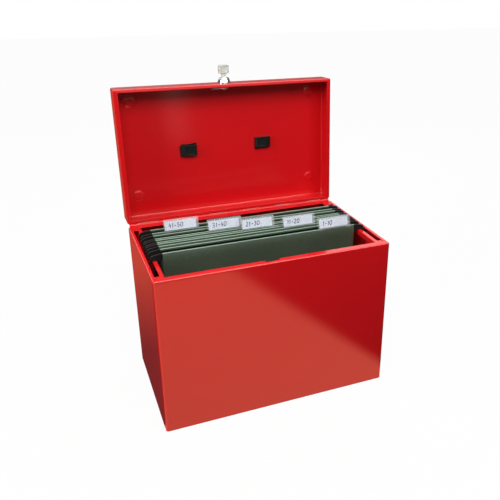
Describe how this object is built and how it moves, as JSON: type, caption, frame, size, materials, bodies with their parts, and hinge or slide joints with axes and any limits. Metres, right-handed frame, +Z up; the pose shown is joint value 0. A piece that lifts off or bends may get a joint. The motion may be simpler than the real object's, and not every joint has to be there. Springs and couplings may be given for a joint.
{
  "type": "portable file box",
  "caption": "Lidded steel box with a domed key lock and carrying handle; hooked card files with tabs hang inside on slotted rails.",
  "frame": {"origin": "centre of the base's underside, on the floor", "axes": "+Z up, -Y out of the front, the lid opens to +Y, +X to the right seen from the front"},
  "size_m": [0.3644, 0.2742, 0.4951],
  "materials": {
    "red_paint": "smooth gloss stoved enamel",
    "pin_steel": "zinc plated",
    "lock_chrome": "polished plating",
    "key_plastic": "translucent moulded plastic",
    "black_plastic": "satin moulded plastic",
    "green_card": "dark green manilla card, uncoated",
    "clear_tab": "clear folded plastic",
    "white_card": "plain white card, uncoated"
  },
  "bodies": {
    "body": {"body_shell": "red_paint", "base_panel": "red_paint", "rail_left": "red_paint", "rail_right": "red_paint", "hinge_body_leaf": "red_paint", "hinge_pin": "pin_steel"},
    "lid": {"lid_shell": "red_paint", "hinge_lid_leaf": "red_paint", "lid_stop_left": "red_paint", "lid_stop_right": "red_paint", "lock_body": "lock_chrome", "lock_nut": "pin_steel", "handle_bracket_left": "black_plastic", "handle_bracket_right": "black_plastic"},
    "lock": {"lock_plug": "lock_chrome", "lock_cam": "pin_steel", "cam_screw": "pin_steel"},
    "key": {"key_blade": "pin_steel", "key_head": "key_plastic"},
    "handle": {"handle_grip": "black_plastic"},
    "file_1": {"file_1_folder": "green_card", "file_1_front_bar": "black_plastic", "file_1_rear_bar": "black_plastic", "file_1_tab": "clear_tab", "file_1_label": "white_card"},
    "file_2": {"file_2_folder": "green_card", "file_2_front_bar": "black_plastic", "file_2_rear_bar": "black_plastic", "file_2_tab": "clear_tab", "file_2_label": "white_card"},
    "file_3": {"file_3_folder": "green_card", "file_3_front_bar": "black_plastic", "file_3_rear_bar": "black_plastic", "file_3_tab": "clear_tab", "file_3_label": "white_card"},
    "file_4": {"file_4_folder": "green_card", "file_4_front_bar": "black_plastic", "file_4_rear_bar": "black_plastic", "file_4_tab": "clear_tab", "file_4_label": "white_card"},
    "file_5": {"file_5_folder": "green_card", "file_5_front_bar": "black_plastic", "file_5_rear_bar": "black_plastic", "file_5_tab": "clear_tab", "file_5_label": "white_card"}
  },
  "joints": [
    {"name": "lid_hinge", "type": "hinge", "parent": "body", "child": "lid", "pos_m": [0, 0.1103, 0.24915], "axis": [-1, 0, 0], "range_deg": [-92.5, 0]},
    {"name": "lock_turn", "type": "hinge", "parent": "lid", "child": "lock", "pos_m": [-0.0027, 0.13793, 0.46595], "axis": [0, 0.0436, 0.999], "range_deg": [0, 90]},
    {"name": "key_pull", "type": "slide", "parent": "lock", "child": "key", "axis": [0, 0.0436, 0.999], "range_m": [0, 0.02]},
    {"name": "handle_swing", "type": "hinge", "parent": "lid", "child": "handle", "pos_m": [0, 0.15922, 0.35742], "axis": [1, 0, 0], "range_deg": [-2.5, 177.5]},
    {"name": "file_1_lift", "type": "slide", "parent": "body", "child": "file_1", "axis": [0, 0, 1], "range_m": [0, 0.25]},
    {"name": "file_2_lift", "type": "slide", "parent": "body", "child": "file_2", "axis": [0, 0, 1], "range_m": [0, 0.25]},
    {"name": "file_3_lift", "type": "slide", "parent": "body", "child": "file_3", "axis": [0, 0, 1], "range_m": [0, 0.25]},
    {"name": "file_4_lift", "type": "slide", "parent": "body", "child": "file_4", "axis": [0, 0, 1], "range_m": [0, 0.25]},
    {"name": "file_5_lift", "type": "slide", "parent": "body", "child": "file_5", "axis": [0, 0, 1], "range_m": [0, 0.25]}
  ]
}
